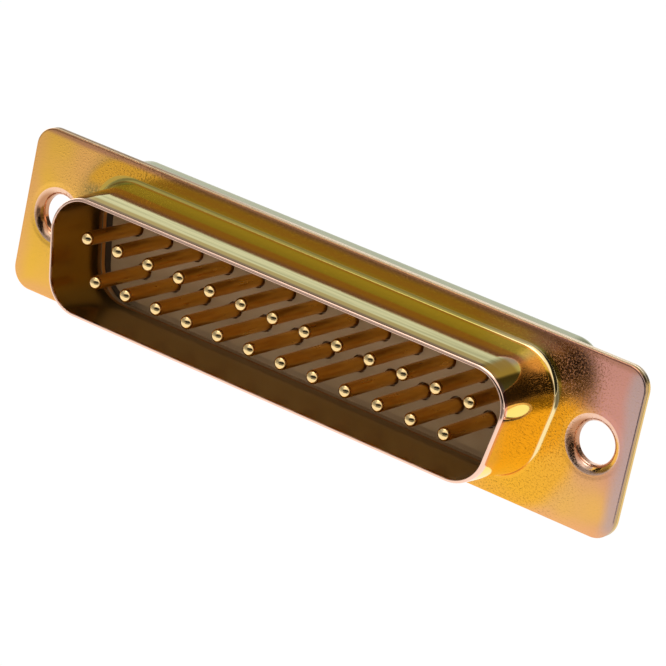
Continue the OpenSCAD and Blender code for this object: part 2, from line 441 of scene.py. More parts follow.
@dataclass(frozen=True)
class ChromatedFront(Finish):
    """Yellow passivation on the front shell: gold that drifts to rose and mauve, with painted
    reflections (olive and straw bands up the skirt, dark patches and a glint by its foot) and
    painted shade inside the skirt.
    """

    name: str = "yellow_passivated_front"
    gold: Colour = (0.96, 0.55, 0.06)
    honey: Colour = (0.88, 0.44, 0.045)
    orange: Colour = (0.96, 0.46, 0.03)
    rose: Colour = (0.92, 0.44, 0.20)
    mauve: Colour = (0.64, 0.29, 0.24)
    slate: Colour = (0.50, 0.38, 0.37)
    # Painted reflection: dark patches on the flange by the skirt's right foot.
    dark_reflection: Colour = (0.22, 0.11, 0.05)
    # Painted reflection: dark halo on the flange by the skirt's upper left foot.
    dark_hollow_reflection: Colour = (0.30, 0.23, 0.07)
    plum: Colour = (0.45, 0.20, 0.14)
    blush: Colour = (0.98, 0.66, 0.52)
    straw: Colour = (0.66, 0.64, 0.30)
    moss: Colour = (0.42, 0.42, 0.17)
    bronze: Colour = (0.40, 0.30, 0.05)
    umber: Colour = (0.60, 0.33, 0.025)
    inner_shade: Colour = (0.43, 0.29, 0.05)
    edge_gold: Colour = (0.50, 0.32, 0.13)
    brass: Colour = (0.72, 0.55, 0.36)
    olive: Colour = (0.69, 0.90, 0.48)
    foot_gold: Colour = (0.62, 0.52, 0.14)
    foot_highlight: Colour = (1.0, 0.80, 0.40)
    shade: Colour = (0.16, 0.09, 0.02)
    sage: Colour = (0.46, 0.42, 0.15)
    amber_highlight: Colour = (1.0, 0.80, 0.18)
    right_end: Edge = Edge(12.0, 17.0)
    rose_cloud: Edge = Edge(-0.15, 0.3, share=0.6)
    mauve_cloud: Edge = Edge(-0.2, 0.1333, share=0.5)
    mauve_along: Edge = Edge(18.0, 21.0)
    mauve_side: Edge = Edge(21.5, 26.0, 9.0)
    slate_end: Edge = Edge(25.1, 26.2, 1.6, 0.8)
    rose_low: Edge = Edge(5.0, 6.2, 1.6, 0.6)
    rose_left: Edge = Edge(24.8, 26.4, 2.0, 0.6)
    near_foot: Edge = Edge(7.0, 5.6, 1.2)
    glint_low: Edge = Edge(3.2, 1.4, 2.0)
    reflected_dark_reach: Edge = Edge(4.0, 4.8)
    speck: Edge = Edge(0.44, 0.56)
    hollow_along: Edge = Edge(-12.0, -15.0)
    hollow_up: Edge = Edge(0.5, 2.0)
    hollow_reach: Edge = Edge(5.8, 4.2, 1.5)
    strip_reach: Edge = Edge(4.9, 4.3)
    strip_up: Edge = Edge(3.0, 4.0)
    plum_top: Edge = Edge(5.7, 6.1, 0.4, 0.8)
    cut_side: Edge = Edge(0.5, 0.3)
    cut_hole: Edge = Edge(2.5, 3.0)
    lip_ring: Edge = Edge(2.17, 2.1, share=0.85)
    lip_side: Edge = Edge(0.05, 0.5)
    level_wall: Edge = Edge(0.88, 0.97, 0.1)
    olive_from: Edge = Edge(0.34, 0.44)
    brass_from: Edge = Edge(1.6, 2.0, 0.3)
    straw_from: Edge = Edge(3.1, 3.4, 0.3)
    bronze_from: Edge = Edge(4.7, 4.95, 0.08)
    shade_from: Edge = Edge(5.3, 5.5)
    end_from: Edge = Edge(0.24, 0.32)
    end_blush: Edge = Edge(5.35, 5.6)
    brow_up: Edge = Edge(0.55, 0.8)
    brow_side: Edge = Edge(0.04, 0.22)
    brow_from: Edge = Edge(2.9, 3.5, 0.3, 0.85)
    inward: Edge = Edge(0.1, -0.1)
    within_level: Edge = Edge(0.4, 0.8)
    within_height: Edge = Edge(5.8, 5.6)
    rim_from: Edge = Edge(5.75, 5.83)
    flange_from: Edge = Edge(3.42, 3.5)
    peel_reach: Edge = Edge(9.0, 3.6, 3.0)
    peel_ends: Edge = Edge(13.0, 17.0, share=0.85)
    peel_left: Edge = Edge(-13.0, -17.0, share=0.7)
    pit: Edge = Edge(0.5, 0.72)
    polish: float = 0.07
    flange_roughness: float = 0.07
    inside_roughness: float = 0.2

    def flange_colour(
        self, graph: Graph, place: ShellMap, drift: Channel
    ) -> bpy.types.NodeSocket:
        """Colour the flange and its eyelets, with painted reflections and a painted highlight near
        the skirt's foot and painted reflections on the eyelets' lips.

        Args:
            graph: The material's graph.
            place: The shell's map.
            drift: Slow noise about zero.

        Returns:
            The colour socket.
        """
        speck = self.speck.mask(graph.grain(0.2, 3.0, 0.65))
        right = self.right_end.mask(place.along)
        near = self.near_foot.mask(place.reach, drift) * right
        # Painted highlight: an orange glint on the flange low by the skirt's right foot.
        foot = near * self.glint_low.mask(place.up, drift)
        # Painted reflection: grainy dark patches on the flange near the skirt's right foot.
        reflected_dark = (near - foot) * self.reflected_dark_reach.mask(place.reach)
        # Painted reflection: a dark mottled halo on the flange around the skirt's upper left foot.
        hollow = self.hollow_along.mask(place.along) * self.hollow_up.mask(place.up)
        hollow = self.hollow_reach.mask(place.reach, drift) * hollow
        strip = self.strip_reach.mask(place.reach) * (1.0 - right) * self.strip_up.mask(place.up)
        cloud = self.mauve_along.mask(place.along) * (self.mauve_cloud.mask(drift) + 0.2)
        low, left = self.rose_low.mask(-place.up, drift), self.rose_left.mask(-place.along, drift)
        cut = self.cut_side.mask(abs(place.facing_mate)) * self.cut_hole.mask(place.hole)
        # Painted reflection: each eyelet's lip ring is plum where it faces +X and pale blush where
        # it faces away.
        lip_reflection = graph.mix(self.lip_side.mask(place.facing_along), self.blush, self.plum)
        return graph.paint(
            self.gold,
            (self.rose_cloud.mask(drift), self.rose),
            (cloud, self.mauve),
            (self.mauve_side.mask(place.along + place.up * 0.9, drift), self.mauve),
            (self.slate_end.mask(place.along, drift), self.slate),
            (graph.larger(low, left), self.rose),
            (foot * 0.85, self.orange),
            (reflected_dark * (speck * 0.2 + 0.5), self.dark_reflection),
            (hollow * (speck * 0.45 + 0.5), self.dark_hollow_reflection),
            (strip, self.honey),
            (self.plum_top.mask(place.up, drift), self.plum),
            (cut, self.edge_gold),
            (self.lip_ring.mask(place.hole), lip_reflection),
        )

    def skirt_colour(
        self, graph: Graph, place: ShellMap, drift: Channel
    ) -> bpy.types.NodeSocket:
        """Colour the skirt's outer and inner walls, largely with painted reflections and painted
        shade.

        Args:
            graph: The material's graph.
            place: The shell's map.
            drift: Slow noise about zero.

        Returns:
            The colour socket.
        """
        height = place.height
        drawn = graph.grain(0.3, 3.0, 0.65, (0.03, 1.0, 1.0)).centred() * 3.0
        right = self.right_end.mask(place.along)
        # Painted highlight: the foot line turns cream towards the right end.
        line = graph.mix(right, self.foot_gold, self.foot_highlight)
        # Painted reflection: the bands up the long walls (olive, brass, straw with moss, bronze)
        # stand for mirrored surroundings. The drawing streaks are real, and the shade band by the
        # rim is painted shade.
        walls = graph.paint(
            line,
            (self.olive_from.mask(height), self.olive),
            (self.brass_from.mask(height, drift), self.brass),
            (
                self.straw_from.mask(height, drift),
                graph.mix(drawn * 1.3 + 0.3, self.straw, self.moss),
            ),
            (self.bronze_from.mask(height, drawn), self.bronze),
            (self.shade_from.mask(height), self.shade),
        )
        # Painted highlight: the right end wall is bright amber where the left one is sage.
        ends = graph.paint(
            line,
            (self.end_from.mask(height), graph.mix(right, self.sage, self.amber_highlight)),
            (self.end_blush.mask(height), self.blush),
        )
        # Painted reflection: a brown patch where the top wall turns towards the right end.
        brow = right * self.brow_up.mask(place.facing_up) * self.brow_side.mask(place.facing_along)
        # Painted shade: inside the skirt the ends turn umber and the long walls a darker
        # olive-gold.
        level = self.within_level.mask(abs(place.facing_up))
        return graph.paint(
            ends,
            (self.level_wall.mask(abs(place.facing_up), drift), walls),
            (brow * self.brow_from.mask(height, drift), self.umber),
            (self.inward.mask(place.facing_out), graph.mix(level, self.umber, self.inner_shade)),
            (self.rim_from.mask(height), self.blush),
        )

    def sockets(self, graph: Graph) -> dict[str, object]:
        """Work out what feeds the shader.

        Args:
            graph: The material's graph.

        Returns:
            Values, channels or sockets by input name.
        """
        place = ShellMap.on(graph)
        drift = graph.grain(8.0).centred()
        fleck = graph.grain(0.15, 3.0, 0.65)
        flange = self.flange_from.mask(place.reach)
        skirt = 1.0 - flange
        walls = self.skirt_colour(graph, place, drift)
        colour = graph.mix(flange, walls, self.flange_colour(graph, place, drift))
        ends = self.peel_ends.mask(abs(place.along)) + self.peel_left.mask(place.along) + 0.15
        peel = flange * self.peel_reach.mask(place.reach, drift) * ends
        inside = self.inward.mask(place.facing_out) * self.within_height.mask(place.height) * skirt
        streak = graph.grain(0.5, 2.0, 0.5, (0.02, 1.0, 1.0)) * skirt
        waves = graph.bump(graph.grain(1.8, 1.0), 0.010, 0.3)
        drawn = graph.bump(streak, 0.0015, 0.5, waves)
        pits = self.pit.mask(fleck) * (peel * 0.8 + flange * 0.2)
        rough = (fleck.centred() * 0.1 + peel * 0.04 + self.flange_roughness) * flange
        return {
            "Base Color": graph.mix(fleck.centred() * 0.3 * flange + 0.05, colour, self.orange),
            "Metallic": 1.0,
            "Roughness": rough + inside * self.inside_roughness + self.polish,
            "Normal": graph.bump(pits, 0.013, 0.8, drawn),
        }


@dataclass(frozen=True)
class ChromatedRear(Finish):
    """Yellow passivation on the rear shell: pale grey-green with fine drawing lines."""

    name: str = "yellow_passivated_rear"
    pale: Colour = (0.30, 0.35, 0.21)
    straw: Colour = (0.49, 0.45, 0.26)
    brown: Colour = (0.28, 0.17, 0.07)
    cream: Colour = (0.80, 0.66, 0.47)
    rose: Colour = (0.78, 0.46, 0.33)
    gold: Colour = (0.80, 0.52, 0.16)
    back: Edge = Edge(0.4, 0.9, 0.3)
    back_cloud: Edge = Edge(-0.2, 0.2)
    side: Edge = Edge(0.5, 0.95, 0.3)
    flange_edge: Edge = Edge(-0.8, -0.7)
    top_edge: Edge = Edge(0.4, 0.7)
    cream_along: Edge = Edge(-18.0, 0.0)
    roughness: float = 0.22

    def sockets(self, graph: Graph) -> dict[str, object]:
        """Work out what feeds the shader.

        Args:
            graph: The material's graph.

        Returns:
            Values, channels or sockets by input name.
        """
        place = ShellMap.on(graph)
        drift = graph.grain(7.0).centred()
        streak = graph.grain(0.35, 3.0, 0.6, (0.02, 1.0, 1.0))
        fleck = graph.grain(0.3, 3.0, 0.6)
        side = self.side.mask(abs(place.facing_along), drift)
        edge = self.flange_edge.mask(place.height)
        colour = graph.paint(
            self.pale,
            (streak.centred() * 0.9 + 0.35, self.straw),
            (side * 0.7, self.rose),
            (
                self.back.mask(-place.facing_mate, drift),
                graph.mix(self.back_cloud.mask(drift), self.gold, self.rose),
            ),
            (edge * side, self.gold),
            (
                edge * self.top_edge.mask(place.facing_up),
                graph.mix(self.cream_along.mask(place.along), self.brown, self.cream),
            ),
        )
        lines = graph.bump(streak, 0.004, 0.5)
        return {
            "Base Color": colour,
            "Metallic": 1.0,
            "Roughness": fleck.centred() * 0.1 + self.roughness,
            "Normal": graph.bump(fleck, 0.003, 0.5, lines),
        }


@dataclass(frozen=True)
class GoldPlate(Finish):
    """Bright gold on a turned contact, with fine lines along it and a smoother tip painted pale as
    a highlight.
    """

    name: str = "gold_on_turned_brass"
    gold: Colour = (0.98, 0.56, 0.09)
    pale: Colour = (1.0, 0.72, 0.34)
    dull: Colour = (0.76, 0.37, 0.035)
    roughness: float = 0.3
    tip: Edge = Edge(-5.2, -5.5)

    def sockets(self, graph: Graph) -> dict[str, object]:
        """Work out what feeds the shader.

        Args:
            graph: The material's graph.

        Returns:
            Values, channels or sockets by input name.
        """
        _, depth, _ = graph.split(graph.place())
        drawn = graph.grain(0.25, 2.0, 0.5, (1.0, 0.12, 1.0))
        # Painted highlight: the tip is painted pale, and made smoother.
        tip = self.tip.mask(depth * (1.0 / MM))
        shaft = graph.mix(drawn.centred() * 1.4 + 0.4, self.gold, self.dull)
        return {
            "Base Color": graph.mix(tip, shaft, self.pale),
            "Metallic": 1.0,
            "Roughness": (drawn.centred() * 0.15 + self.roughness) * (1.0 - tip * 0.5),
            "Normal": graph.bump(drawn, 0.003, 0.5),
        }


@dataclass(frozen=True)
class MouldedPlastic(Finish):
    """Glass-filled thermoplastic: dull taupe with a faint flow mottle and a fine grain, plus
    painted shade in the groove at the left end and painted reflections of the shell on its ring
    and groove wall.
    """

    name: str
    base: Colour = (0.41, 0.265, 0.13)
    light: Colour = (0.58, 0.41, 0.24)
    shade: Colour = (0.03, 0.018, 0.008)
    glow: Colour = (0.34, 0.13, 0.02)
    orange_glint: Colour = (0.95, 0.36, 0.06)
    roughness: float = 0.55
    left_end: Edge = Edge(-14.0, -18.0)
    groove_front: Edge = Edge(-0.7, -0.95)
    groove_floor: Edge = Edge(-1.3, -1.1)
    ring_reach: Edge = Edge(2.8, 2.9)
    ring_height: Edge = Edge(-0.5, -0.42)
    wall_side: Edge = Edge(0.4, 0.8)
    wall_front: Edge = Edge(-0.5, -0.6)
    wall_floor: Edge = Edge(-0.98, -0.88)

    def sockets(self, graph: Graph) -> dict[str, object]:
        """Work out what feeds the shader.

        Args:
            graph: The material's graph.

        Returns:
            Values, channels or sockets by input name.
        """
        place = ShellMap.on(graph)
        height = place.height
        mottle = graph.grain(2.2, 3.0, 0.55, (0.4, 1.0, 1.0))
        grain = graph.grain(0.12)
        left = self.left_end.mask(place.along)
        groove = self.groove_front.mask(height) * self.groove_floor.mask(height) * left
        # Painted reflection: the ring is tinted orange-brown for the shell mirrored in it.
        ring = self.ring_reach.mask(place.reach) * self.ring_height.mask(height)
        # Painted reflection: an orange glint on the groove's wall at the left end.
        wall = self.wall_side.mask(place.facing_along) * left
        wall = wall * self.wall_front.mask(height) * self.wall_floor.mask(height)
        colour = graph.paint(
            self.base,
            ((mottle - 0.3) * 1.2, self.light),
            (groove * 0.9, self.shade),
            (ring, self.glow),
            (wall, self.orange_glint),
        )
        return {
            "Base Color": colour,
            "Roughness": grain.centred() * 0.2 + self.roughness,
            "Normal": graph.bump(grain, 0.006, 0.5),
        }


# --- mesh work ---------------------------------------------------------------


class Turn(Enum):
    """Whether a bend's section is followed with or against the clock."""

    LEFT = 1.0
    RIGHT = -1.0


class Section:
    """A drawn line of a sheet or block in (reach, height), in millimetres."""

    SUPPORT = 0.03

    def __init__(self, start: Point) -> None:
        """Start the line.

        Args:
            start: First point.
        """
        self.points: list[Point] = [start]

    def line(self, *ends: Point) -> "Section":
        """Draw straight stretches, each with a support point close to both ends.

        Args:
            ends: Where each stretch ends.

        Returns:
            This section, for the next stroke.
        """
        for end in ends:
            start = Vector(self.points[-1])
            run = Vector(end) - start
            if run.length > 3 * self.SUPPORT:
                step = run.normalized() * self.SUPPORT
                self.points.append(tuple(start + step))
                self.points.append(tuple(start + run - step))
            self.points.append(tuple(end))
        return self

    def arc(self, centre: Point, degrees: float, turn: Turn, steps: int) -> "Section":
        """Draw an arc from the last point.

        Args:
            centre: Centre of the arc.
            degrees: How far it goes.
            turn: Which way it goes.
            steps: Number of chords.

        Returns:
            This section, for the next stroke.
        """
        middle = Vector(centre)
        spoke = Vector(self.points[-1]) - middle
        for index in range(1, steps + 1):
            angle = turn.value * math.radians(degrees) * index / steps
            self.points.append(tuple(middle + Matrix.Rotation(angle, 2) @ spoke))
        return self


Chain = list[bmesh.types.BMEdge]
Bend = tuple[Vector, Vector, float, int]


class Sheet:
    """A mesh that grows by sweeping, spinning and filling."""

    MERGE = 2e-7
    LEVEL = 1e-8
    FULL_TURN = 2 * math.pi
    SHARP = math.radians(35)
    AXIS = Vector((0, 1, 0))

    def __init__(self) -> None:
        """Start an empty mesh."""
        self.mesh = bmesh.new()

    def chain(self, points: Iterable[Vector]) -> Chain:
        """Lay a chain of edges through points and give the edges in order."""
        verts = [self.mesh.verts.new(point) for point in points]
        return [self.mesh.edges.new(pair) for pair in zip(verts, verts[1:])]

    def push(self, edges: Chain, move: Vector) -> Chain:
        """Extrude a chain along a vector, with support loops near both ends.

        Args:
            edges: The chain.
            move: How far and where it goes, in metres.

        Returns:
            The chain at its new place.
        """
        support = move.normalized() * Section.SUPPORT * MM
        short = move.length <= 4 * support.length
        for part in [move] if short else [support, move - 2 * support, support]:
            grown = bmesh.ops.extrude_edge_only(self.mesh, edges=edges)["geom"]
            verts = [item for item in grown if isinstance(item, bmesh.types.BMVert)]
            bmesh.ops.translate(self.mesh, verts=verts, vec=part)
            edges = [item for item in grown if isinstance(item, bmesh.types.BMEdge)]
        return edges

    def spin(self, edges: Chain, centre: Vector, angle: float, steps: int) -> Chain:
        """Spin a chain round an axis along Y.

        Args:
            edges: The chain.
            centre: A point on the axis.
            angle: How far it turns, in radians.
            steps: Number of steps.

        Returns:
            The chain at its new place.
        """
        verts = {vert for edge in edges for vert in edge.verts}
        grown = bmesh.ops.spin(
            self.mesh,
            geom=[*verts, *edges],
            cent=centre,
            axis=self.AXIS,
            angle=angle,
            steps=steps,
            use_merge=angle == self.FULL_TURN,
            use_duplicate=False,
        )
        return [item for item in grown["geom_last"] if isinstance(item, bmesh.types.BMEdge)]

    def round(self, points: Iterable[Vector], bends: Sequence[Bend], last: Vector) -> None:
        """Sweep a section once round an outline of straights and bends.

        Args:
            points: Places of the section at the start.
            bends: For each bend the straight before it, its centre, its angle and its steps.
            last: The straight that closes the outline.
        """
        chain = self.chain(points)
        for straight, centre, angle, steps in bends:
            chain = self.push(chain, straight)
            chain = self.spin(chain, centre, angle, steps)
        self.push(chain, last)
        self.weld()

    def weld(self) -> None:
        """Merge the doubled points where sweeps meet."""
        bmesh.ops.remove_doubles(self.mesh, verts=self.mesh.verts, dist=self.MERGE)

    def fill(self, height: float) -> None:
        """Fill the flat space between the open loops at one height.

        Args:
            height: Millimetres towards the mating side.
        """
        level = -height * MM
        rim = [
            edge
            for edge in self.mesh.edges
            if edge.is_boundary and all(abs(vert.co.y - level) < self.LEVEL for vert in edge.verts)
        ]
        bmesh.ops.triangle_fill(self.mesh, use_beauty=True, use_dissolve=False, edges=rim)

    def piece(
        self, name: str, finish: bpy.types.Material, slot: str, nodes: Sequence[str]
    ) -> None:
        """Finish the mesh as one piece of the object.

        Args:
            name: Name of the piece.
            finish: Its material.
            slot: The record's material slot; not used.
            nodes: CAD nodes that it stands for.
        """
        self.weld()
        bmesh.ops.recalc_face_normals(self.mesh, faces=self.mesh.faces)
        for face in self.mesh.faces:
            face.smooth = True
        for edge in self.mesh.edges:
            edge.smooth = len(edge.link_faces) == 2 and edge.calc_face_angle(0.0) < self.SHARP
        open_edges = sum(1 for edge in self.mesh.edges if not edge.is_manifold)
        data = bpy.data.meshes.new(name)
        self.mesh.to_mesh(data)
        self.mesh.free()
        data.materials.append(finish)
        made = bpy.data.objects.new(name, data)
        bpy.context.scene.collection.objects.link(made)
        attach(made, BODY)
        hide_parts(*nodes)
        LOG.info("%s: %d faces, %d open edges", name, len(data.polygons), open_edges)


@dataclass(frozen=True)
class DSpine:
    """The four corner centres that every D outline of the connector grows from."""

    half_width: float
    half_height: float
    slant: float = math.radians(9.9264)
    step: float = math.radians(5.0)

    def sweep(self, sheet: Sheet, section: Sequence[Point]) -> None:
        """Sweep a section once round the spine.

        Args:
            sheet: The mesh to grow.
            section: Points of (reach, height) in millimetres.
        """
        top, rise = self.half_width, self.half_height
        low = top - 2 * rise * math.tan(self.slant)
        wide, narrow = QUARTER + self.slant, QUARTER - self.slant
        half = facing_mate(0, 0, top)
        bends = (
            (half, facing_mate(rise, 0, top), wide),
            (facing_mate(-2 * rise, 0, low - top), facing_mate(-rise, 0, low), narrow),
            (facing_mate(0, 0, -2 * low), facing_mate(-rise, 0, -low), narrow),
            (facing_mate(2 * rise, 0, low - top), facing_mate(rise, 0, -top), wide),
        )
        sheet.round(
            (facing_mate(rise + reach, height) for reach, height in section),
            [(*bend, round(bend[-1] / self.step)) for bend in bends],
            half,
        )


@dataclass(frozen=True)
class FlangeOutline:
    """The rounded rectangle of both flanges."""

    length: float
    height: float
    corner: float = 1.6
    edge: float = 0.12
    seam: float = 0.06
    steps: int = 16
    edge_steps: int = 6

    def sweep(self, sheet: Sheet, section: Sequence[Point]) -> None:
        """Sweep an edge section once round the outline.

        Args:
            sheet: The mesh to grow.
            section: Points of (distance outside the corner centre, height) in millimetres.
        """
        wide = self.length / 2 - self.corner
        tall = self.height / 2 - self.corner
        half = facing_mate(0, 0, wide)
        straights = (
            (half, facing_mate(tall, 0, wide)),
            (facing_mate(-2 * tall, 0), facing_mate(-tall, 0, wide)),
            (facing_mate(0, 0, -2 * wide), facing_mate(-tall, 0, -wide)),
            (facing_mate(2 * tall, 0), facing_mate(tall, 0, -wide)),
        )
        sheet.round(
            (facing_mate(tall + reach, height) for reach, height in section),
            [(*straight, QUARTER, self.steps) for straight in straights],
            half,
        )

    def edge_section(self, front: float, back: float, round_front: bool) -> list[Point]:
        """Give the section of the flange's edge.

        Args:
            front: Height of the front face.
            back: Height of the back face.
            round_front: Whether the front corner is rounded rather than the back one.

        Returns:
            The points from the front face to the back face.
        """
        first, last = (self.edge, self.seam) if round_front else (self.seam, self.edge)
        start = self.corner - self.edge - FLAT_MARGIN
        line = Section((start, front)).line((self.corner - first, front))
        line.arc((self.corner - first, front - first), 90, Turn.RIGHT, self.edge_steps)
        line.line((self.corner, back + last))
        line.arc((self.corner - last, back + last), 90, Turn.RIGHT, self.edge_steps)
        return line.line((start, back)).points


# --- sub-assemblies ----------------------------------------------------------


@dataclass(frozen=True)
class Shell(ABC):
    """What both drawn shells share: a flange, a D and a hole at each end."""

    outline: FlangeOutline
    depth: float

    @abstractmethod
    def drawn_section(self) -> list[Point]:
        """Give the section of the drawn D, from the front face to the back face."""

    @abstractmethod
    def hole_section(self) -> list[Point]:
        """Give the section of the hole, as distances from its axis, from front to back."""

    def shape(self, spine: DSpine, front: float, round_front: bool, hole_steps: int) -> Sheet:
        """Sweep, spin and fill the shell.

        Args:
            spine: The D's spine.
            front: Height of the flange's front face.
            round_front: Whether the flange's front edge is the rounded one.
            hole_steps: Steps round each hole.

        Returns:
            The finished mesh.
        """
        back = front - SHEET_STEEL
        sheet = Sheet()
        self.outline.sweep(sheet, self.outline.edge_section(front, back, round_front))
        spine.sweep(sheet, self.drawn_section())
        for side in (-1, 1):
            centre = facing_mate(0, 0, side * HOLE_SPACING / 2)
            section = self.hole_section()
            chain = sheet.chain(centre + facing_mate(reach, height) for reach, height in section)
            sheet.spin(chain, centre, Sheet.FULL_TURN, hole_steps)
        sheet.weld()
        sheet.fill(front)
        sheet.fill(back)
        return sheet


@dataclass(frozen=True)
class FrontShell(Shell):
    """Front shell: flange, D skirt with a rolled rim, and two clinched eyelets."""

    finish: ChromatedFront = ChromatedFront()
    spine: DSpine = DSpine(16.88, 1.58)
    wall_in: float = 2.6
    foot: float = 0.35
    foot_crease: float = 10.0
    foot_lean: float = 12.5
    flare: float = 0.2
    flare_end: float = 0.34
    rim: float = 0.2
    rim_inside: float = 0.05
    lean: float = 3.0
    lean_from: float = 0.1
    lean_power: float = 1.5
    lean_inside: float = 0.4
    bore: float = 1.525
    mouth: float = 0.6
    eyelet_wall: float = 0.3
    under: float = 0.3
    roll: float = 0.15
    lip_reach: float = 2.5
    dish_reach: float = 2.6
    dish_depth: float = 0.02
    crease: float = 14.0
    wall_steps: int = 24
    foot_steps: int = 8
    foot_back_steps: int = 12
    rim_steps: int = 7
    rim_inside_steps: int = 4
    dish_steps: int = 8
    mouth_steps: int = 14
    roll_steps: int = 6
    eyelet_steps: int = 64

    def drawn_section(self) -> list[Point]:
        """Give the sheet's line from the flange's front over the rim to its back.

        Returns:
            The points of the section.
        """
        outer, inner = self.foot, self.foot + SHEET_STEEL
        crease, leaning = math.radians(self.foot_crease), math.radians(self.foot_lean)
        out = self.wall_in + SHEET_STEEL
        centre = (out + self.flare + outer * math.cos(leaning), outer * math.cos(crease))
        foot_reach = centre[0] - outer * math.sin(crease)
        leaving = math.degrees(math.acos((centre[1] + SHEET_STEEL) / inner))
        bend = 90 - self.foot_lean
        line = Section((foot_reach + FLAT_MARGIN, 0.0)).line((foot_reach, 0.0))
        line.arc(centre, bend - self.foot_crease, Turn.RIGHT, self.foot_steps)
        low, top = line.points[-1][1], self.depth - self.rim
        run, steps = top - low, self.wall_steps
        rise = [low + run * index / steps for index in range(1, steps + 1)]
        line.points.extend((out + self._drawn(height, 1.0), height) for height in rise)
        line.arc((line.points[-1][0] - self.rim, top), 90, Turn.LEFT, self.rim_steps)
        brow = self.wall_in + self._drawn(top, self.lean_inside) + self.rim_inside
        line.line((brow, self.depth))
        line.arc((brow, self.depth - self.rim_inside), 90, Turn.LEFT, self.rim_inside_steps)
        line.points.extend(
            (self.wall_in + self._drawn(height, self.lean_inside), height)
            for height in reversed(rise[:-1])
        )
        start = (centre[0] - inner * math.cos(leaning), centre[1] - inner * math.sin(leaning))
        line.points.append(start)
        line.arc(centre, bend - leaving, Turn.LEFT, self.foot_back_steps)
        return line.line((foot_reach + FLAT_MARGIN, -SHEET_STEEL)).points

    def _drawn(self, height: float, share: float) -> float:
        """Tell how far the drawn wall is from upright: flared at its foot, leaning in above.

        Args:
            height: Millimetres in front of the flange.
            share: How much of the lean this side of the sheet takes.

        Returns:
            The offset, outwards positive.
        """
        run = self.depth - self.foot
        part = (height - self.foot) / run
        flare = self.flare * max(1.0 - part / self.flare_end, 0.0) ** 2
        leaning = math.tan(math.radians(self.lean)) * run
        return flare - leaning * max(part - self.lean_from, 0.0) ** self.lean_power * share

    def hole_section(self) -> list[Point]:
        """Give the eyelet's line from the flange's front through the throat to its back.

        Returns:
            The points of the section, as distances from the hole's axis.
        """
        ring = self.bore + self.mouth
        outer = self.bore + self.eyelet_wall
        stack = -2 * SHEET_STEEL
        back = stack - self.eyelet_wall
        line = Section((self.dish_reach, 0.0))
        for index in range(1, self.dish_steps + 1):
            share = index / self.dish_steps
            reach = self.dish_reach + (ring - self.dish_reach) * share
            fall = (1 - math.cos(math.pi * share)) / 2
            line.points.append((reach, -self.dish_depth * fall))
        self._mouth(line, ring)
        line.line((self.bore, back + self.roll))
        line.arc((self.bore + self.roll, back + self.roll), 90, Turn.LEFT, self.roll_steps)
        line.line((self.lip_reach, back), (self.lip_reach, stack), (outer, stack))
        line.line((outer, -self.mouth))
        line.arc((outer + self.under, -self.mouth), 90, Turn.RIGHT, self.roll_steps)
        return line.line((self.dish_reach, -SHEET_STEEL)).points

    def _mouth(self, line: Section, ring: float) -> None:
        """Draw the eyelet's mouth, which leaves the flange with a crease.

        Args:
            line: The eyelet's section so far, which ends at the ring.
            ring: Radius of the ring.
        """
        start = math.radians(self.crease)
        wide = (ring - self.bore) / (1 - math.sin(start))
        tall = self.mouth / math.cos(start)
        for index in range(1, self.mouth_steps + 1):
            angle = start + (QUARTER - start) * index / self.mouth_steps
            drop = tall * (math.cos(start) - math.cos(angle))
            reach = self.bore + wide * (1 - math.sin(angle))
            line.points.append((reach, -self.dish_depth - drop))

    def build(self) -> None:
        """Build and dress the shell."""
        sheet = self.shape(self.spine, 0.0, True, self.eyelet_steps)
        finish = self.finish.material()
        sheet.piece("front_shell_plated", finish, "shell_steel", ["front_shell"])


@dataclass(frozen=True)
class RearShell(Shell):
    """Rear shell: flange and a D body whose back edge is turned in."""

    finish: ChromatedRear = ChromatedRear()
    spine: DSpine = DSpine(18.54, 2.98)
    wall_out: float = 2.37
    foot: float = 0.3
    back_round: float = 0.9
    opening: float = 0.8
    clearance: float = 2.125
    inner_steps: int = 10
    foot_steps: int = 8
    back_steps: int = 14
    hole_steps: int = 48

    def drawn_section(self) -> list[Point]:
        """Give the sheet's line from the flange's front through the body to its back.

        Returns:
            The points of the section.
        """
        front, back = -SHEET_STEEL, -2 * SHEET_STEEL
        inside = self.wall_out - SHEET_STEEL
        foot = (self.wall_out + self.foot, back - self.foot)
        turned = (self.wall_out - self.back_round, self.back_round - self.depth)
        line = Section((foot[0] + FLAT_MARGIN, front)).line((foot[0], front))
        line.arc(foot, 90, Turn.LEFT, self.inner_steps)
        line.line((inside, turned[1]))
        line.arc(turned, 90, Turn.RIGHT, self.inner_steps)
        line.line((self.opening, SHEET_STEEL - self.depth), (self.opening, -self.depth))
        line.line((turned[0], -self.depth))
        line.arc(turned, 90, Turn.LEFT, self.back_steps)
        line.line((self.wall_out, foot[1]))
        line.arc(foot, 90, Turn.RIGHT, self.foot_steps)
        return line.line((foot[0] + FLAT_MARGIN, back)).points

    def hole_section(self) -> list[Point]:
        """Give the plain edge of the hole.

        Returns:
            The points of the section, as distances from the hole's axis.
        """
        return [(self.clearance, -SHEET_STEEL), (self.clearance, -2 * SHEET_STEEL)]

    def build(self) -> None:
        """Build and dress the shell."""
        sheet = self.shape(self.spine, -SHEET_STEEL, False, self.hole_steps)
        finish = self.finish.material()
        sheet.piece("rear_shell_plated", finish, "shell_steel", ["rear_shell"])


class Row(Enum):
    """The two rows of contacts, by the side on which they lie."""

    UPPER = 1
    LOWER = -1


